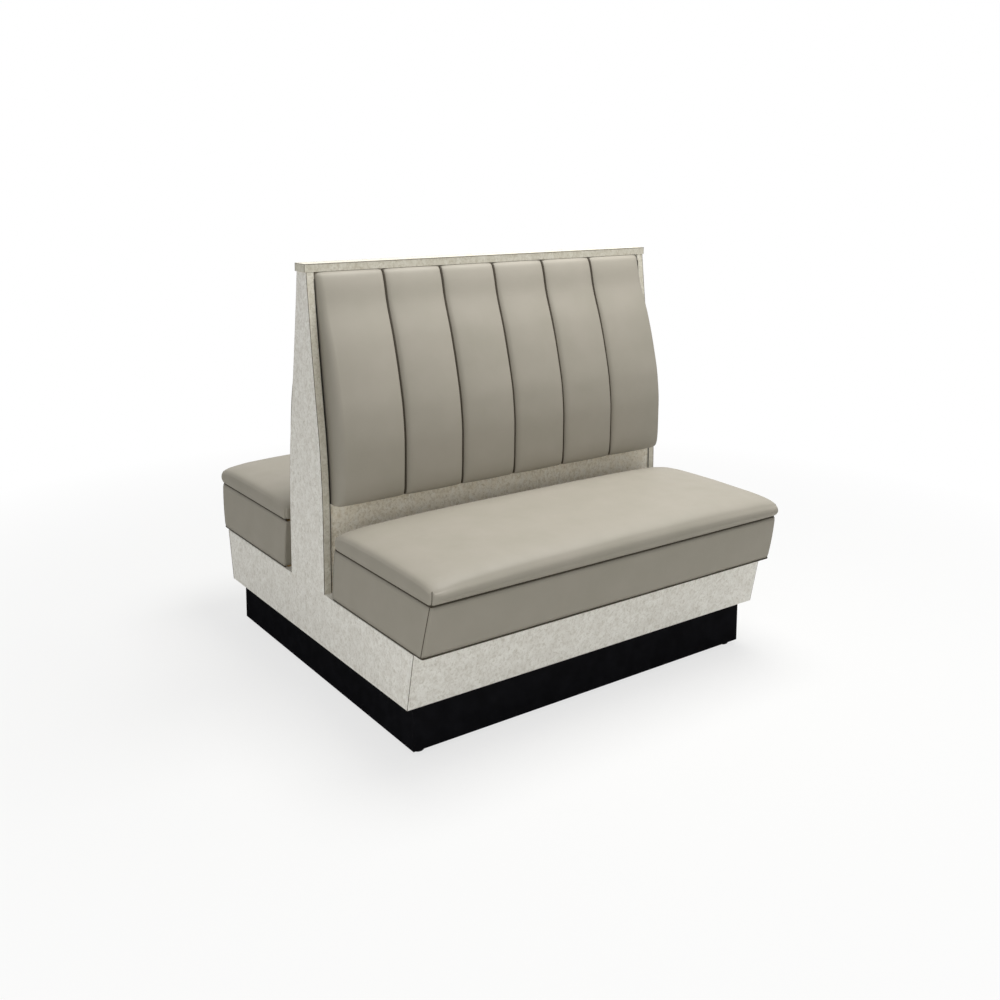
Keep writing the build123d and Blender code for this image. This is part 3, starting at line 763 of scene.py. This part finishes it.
# Corner seams: a fold of the vinyl on each front corner, and beside it, towards
# the end, the dark line of its stitching
corner_seam_radius = 0.0012
corner_seam_sides = 8
thread_radius = 0.0009
thread_offset = 2
left_corner = rear_steps + 1 + band_short_steps + corner_steps // 2
right_corner = outer_rows.shape[1] - 1 - left_corner
corner_lines = []
thread_lines = []
for column, outward in ((left_corner, -1), (right_corner, 1)):
    line = outer_rows[:, column]
    thread = outer_rows[:, column + outward * thread_offset]
    corner_lines += [line, in_mirror(line)]
    thread_lines += [thread, in_mirror(thread)]
band_seams = make_cords(
    "seat_box_corner_seams", corner_lines, corner_seam_radius, corner_seam_sides, vinyl)
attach(band_seams, "root")
corner_threads = make_cords(
    "seat_box_corner_threads", thread_lines, thread_radius, fine_cord_sides, dark_cord_and_seam_shade)
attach(corner_threads, "root")

# Turned edge: the vinyl laps under the overhang of the box, up to the fascia
lap_near = 0.5128
lap_far = 0.5405
lap_low_z = 0.2612
lap_high_z = 0.2624
lap_section = (
    (-lap_near, lap_low_z), (-lap_far, lap_low_z),
    (-lap_far, lap_high_z), (-lap_near, lap_high_z),
)
for side, flip in booth_sides:
    rings = [np.array([(x, y * flip, z) for y, z in lap_section]) for x in (-lap_far, lap_far)]
    lap = ringed_form(side + "_seat_box_turned_edge", rings, vinyl)
    for face in lap.data.polygons:
        face.use_smooth = False
    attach(lap, "root")

# Bottom piping: a cord in dark vinyl, round the front and both ends of the box
piping_radius = 0.0020
piping_half = 0.5435
piping_reach = 0.5428
piping_corner_radius = 0.006
piping_z = 0.2642
round_cord_sides = 12
cord_long_steps = 60
cord_short_steps = 24
piping_places = three_sides(
    piping_half, piping_reach, piping_corner_radius, cord_long_steps, cord_short_steps)
piping_line = [(x, y, piping_z) for x, y in piping_places]
piping = make_cords("seat_box_bottom_piping", [piping_line, in_mirror(piping_line)],
                    piping_radius, round_cord_sides, dark_cord_and_seam_shade)
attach(piping, "root")
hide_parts("seat_box_piping")


# Seat decks: a loose hardwood frame with zigzag springs, felt and a foam block
# under a fitted vinyl cover, which crowns in the middle, bulges at the front
# and has a sewn dart at each corner. A welt lies under the cover's edge.
cushion_low_z = 0.3896
cushion_high = 0.067
cushion_half = 0.539
cushion_middle_y = -0.354
cushion_half_depth = 0.216
cushion_corner_radius = 0.013
# The cover's walls: how far the front, the ends and the rear bulge at shares of
# their height, and how much of the bulge is left at their top edge, the rim
front_bulge = 0.019
end_bulge = 0.004
rear_bulge = 0.002
end_rim = 0.0015
rim_bulge_share = 0.62
wall_shares = (0.0, 0.07, 0.25, 0.55, 0.8, 1.0)
wall_bulges = (-0.02, 0.2, 0.68, 1.0, 0.9, rim_bulge_share)
# How strong the bulge is, at shares of the way from the middle to an end
bulge_places = (0.0, 0.5, 0.84, 0.95, 1.0)
bulge_strengths = (0.8, 0.85, 1.0, 0.9, 0.35)
# The crown: its height at shares of the way in from the long and the short edges
crown_shares = (0.0, 0.03, 0.075, 0.13, 0.21, 0.45, 1.0)
crown_heights = (0.58, 0.70, 0.79, 0.85, 0.9, 0.965, 1.0)
length_shares = (0.0, 0.008, 0.02, 0.05, 0.16, 0.5, 1.0)
length_heights = (0.54, 0.64, 0.71, 0.78, 0.9, 0.98, 1.0)
# The darts draw the corners in, less and less over the shoulder
dart_depth = 0.0016
dart_width = 0.0022
dart_fade = 0.02
# A sat-on foam block is uneven by about a millimetre, in waves of about 120 mm,
# which start just inside the rim
cushion_unevenness = 0.0009
cushion_waves = 8.0
wave_slice = 1.5
flat_rim_share = 0.05
wall_rows = 15
top_rows = 33
top_crowding = 1.9
outline_long_steps = 120
outline_short_steps = 48
outline_turn_steps = 14


def cushion_outline():
    """Places round the cushion, its corners rounded, from the front left on, with
    how far along the corner's arc each is from the dart in its middle."""
    radius = cushion_corner_radius
    flat_x = cushion_half - radius
    flat_y = cushion_half_depth - radius
    turns = np.radians(np.linspace(0, 90, outline_turn_steps + 1))
    no_dart = 1.0
    places = []
    for number, (sx, sy) in enumerate(corner_signs):
        long_side_next = number % 2 == 0
        for angle in turns if long_side_next else turns[::-1]:
            places.append((
                sx * (flat_x + radius * math.cos(angle)),
                sy * (flat_y + radius * math.sin(angle)),
                (angle - math.pi / 4) * radius,
            ))
        steps = outline_long_steps if long_side_next else outline_short_steps
        for share in np.linspace(-1, 1, steps + 1)[1:-1]:
            if long_side_next:
                places.append((-sy * share * flat_x, sy * cushion_half_depth, no_dart))
            else:
                places.append((sx * cushion_half, sx * share * flat_y, no_dart))
    return np.array(places)


def crown_height(x, y, strength):
    """The cushion's height over a place, from its distance to ends and edges."""
    rim = np.where(y < 0, front_bulge * rim_bulge_share * strength, rear_bulge * rim_bulge_share)
    side_share = (cushion_half_depth + rim - np.abs(y)) / (cushion_half_depth + rim)
    end_share = (cushion_half + end_rim - np.abs(x)) / (cushion_half + end_rim)
    across = eased(crown_shares, crown_heights, np.clip(side_share, 0, 1))
    along = eased(length_shares, length_heights, np.clip(end_share, 0, 1))
    return cushion_high * across * along


outline_x, outline_y, from_dart = cushion_outline().T
strength = eased(bulge_places, bulge_strengths, np.abs(outline_x) / cushion_half)
face_bulge = np.where(outline_y < 0, front_bulge * strength, rear_bulge)
dart = dart_depth * np.exp(-(from_dart / dart_width) ** 2)


def moved_outline(out_x, out_y, pinch):
    """The outline moved outwards, and drawn in by the darts."""
    x = outline_x * (cushion_half + out_x - pinch) / cushion_half
    y = outline_y * (cushion_half_depth + out_y - pinch) / cushion_half_depth
    return x, y


def cushion_ring(x, y, height):
    """A loop of the cushion in its place on the front seat."""
    return np.column_stack([x, y + cushion_middle_y, cushion_low_z + height])


cushion_rings = []
rim_x, rim_y = moved_outline(end_rim, face_bulge * rim_bulge_share, 0)
rim_height = crown_height(rim_x, rim_y, strength)
for share in np.linspace(0, 1, wall_rows):
    swell = float(eased(wall_shares, wall_bulges, share))
    out_x = end_bulge * swell + (end_rim - end_bulge * rim_bulge_share) * share
    x, y = moved_outline(out_x, face_bulge * swell, dart)
    cushion_rings.append(cushion_ring(x, y, rim_height * share))
for step in np.linspace(0, 1, top_rows + 1)[1:]:
    share = step ** top_crowding
    inward = cushion_half_depth * share
    out_x = end_rim * (1 - share) - inward
    out_y = face_bulge * rim_bulge_share * (1 - share) - inward
    x, y = moved_outline(out_x, out_y, dart * math.exp(-share / dart_fade))
    here = eased(bulge_places, bulge_strengths, np.clip(np.abs(x) / cushion_half, 0, 1))
    sway = np.array([
        cushion_unevenness * noise.noise((cushion_waves * px, cushion_waves * py, wave_slice))
        for px, py in zip(x, y)
    ])
    height = crown_height(x, y, here) + sway * min(1.0, share / flat_rim_share)
    cushion_rings.append(cushion_ring(x, y, height))

# Corner darts are sewn from the welt up to the shoulder at both front corners,
# and the welt is a dark cord round the front and both ends of the deck
half_turn = outline_turn_steps // 2
dart_starts = (half_turn, outline_turn_steps + outline_long_steps + half_turn)
welt_radius = 0.0020
welt_half = 0.5362
welt_reach = 0.5672
welt_corner_radius = 0.010
welt_z = 0.3868
welt_places = three_sides(
    welt_half, welt_reach, welt_corner_radius, cord_long_steps, cord_short_steps)
for side, flip in booth_sides:
    body = side + "_seat"
    rings = [ring * (1, flip, 1) for ring in cushion_rings]
    cushion = ringed_form(side + "_seat_cushion", rings, vinyl, last_cap=False)
    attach(cushion, body)
    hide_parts(side + "_seat_cover", side + "_seat_foam")

    dart_lines = [[ring[start] for ring in rings[1:wall_rows + 2]] for start in dart_starts]
    darts = make_cords(side + "_cushion_corner_darts", dart_lines,
                       thread_radius, fine_cord_sides, dark_cord_and_seam_shade)
    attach(darts, body)

    welt_line = [(x, y * flip, welt_z) for x, y in welt_places]
    welt = make_cords(side + "_seat_edge_welt", [welt_line],
                      welt_radius, round_cord_sides, dark_cord_and_seam_shade)
    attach(welt, body)
    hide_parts(side + "_seat_welt")

# Spring felt: needled grey waste-fibre felt, 2 mm thick, stapled over the springs
felt, tree, shader, place = new_finish("needled_grey_felt", roughness=0.95)
tint = speckled(tree, place, size=0.004, first="8b8780", second="5f5c57",
                low=0.35, high=0.65, detail=6.0)
tree.links.new(tint, shader.inputs["Base Color"])
textured(tree, shader, place, size=0.0012, height=0.0008, strength=0.8, detail=5.0)
felt_unevenness = 0.0003
felt_waves = 40.0
felt_wave_slice = 0.5
felt_columns = 90
felt_rows = 34
for side in ("front", "rear"):
    low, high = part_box(side + "_seat_insulator")
    across = np.linspace(low.x, high.x, felt_columns)
    along = np.linspace(low.y, high.y, felt_rows)
    middle_z = (low.z + high.z) / 2
    points = []
    for y in along:
        for x in across:
            sway = felt_unevenness * noise.noise((x * felt_waves, y * felt_waves, felt_wave_slice))
            points.append((x, y, middle_z + sway))
    faces = []
    for row in range(felt_rows - 1):
        for column in range(felt_columns - 1):
            near = row * felt_columns + column
            far = near + felt_columns
            faces.append((near, near + 1, far + 1, far))
    felt_mesh = bpy.data.meshes.new(side + "_spring_felt")
    felt_mesh.from_pydata(points, [], faces)
    felt_mesh.materials.append(felt)
    sheet = bpy.data.objects.new(side + "_spring_felt", felt_mesh)
    scene.collection.objects.link(sheet)
    thick = sheet.modifiers.new("thickness", "SOLIDIFY")
    thick.thickness = (high.z - low.z) - 2 * felt_unevenness
    thick.offset = 0.0
    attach(sheet, side + "_seat")
    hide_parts(side + "_seat_insulator")

# Spring wire: hard-drawn steel with a thin film of oil, dull grey
spring_wire, tree, shader, place = new_finish("oiled_spring_wire", roughness=0.42, metallic=1.0)
tint = speckled(tree, place, size=0.006, first="8a8b8d", second="6e6f71")
tree.links.new(tint, shader.inputs["Base Color"])
textured(tree, shader, place, size=0.001, height=0.0001, strength=0.3)
dress(spring_wire, "front_seat_springs", "rear_seat_springs",
      "front_spring_clips", "rear_spring_clips")
# Foam, hidden inside: cream polyurethane with open cells of about 1 mm
foam, tree, shader, place = new_finish("cream_upholstery_foam", roughness=0.95)
tint = speckled(tree, place, size=0.0012, first="e9e1c4", second="d6ccaa", low=0.35, high=0.65)
tree.links.new(tint, shader.inputs["Base Color"])
textured(tree, shader, place, size=0.001, height=0.0006, strength=0.8)
dress(foam, "front_seat_foam", "rear_seat_foam", "front_pad_foam", "rear_pad_foam")
dress(vinyl, "front_seat_cover", "rear_seat_cover", "front_pad_cover", "rear_pad_cover",
      "front_seat_box_wrap", "rear_seat_box_wrap")
dress(dark_cord_and_seam_shade, "front_seat_welt", "rear_seat_welt", "seat_box_piping")
dress(felt, "front_seat_insulator", "rear_seat_insulator")
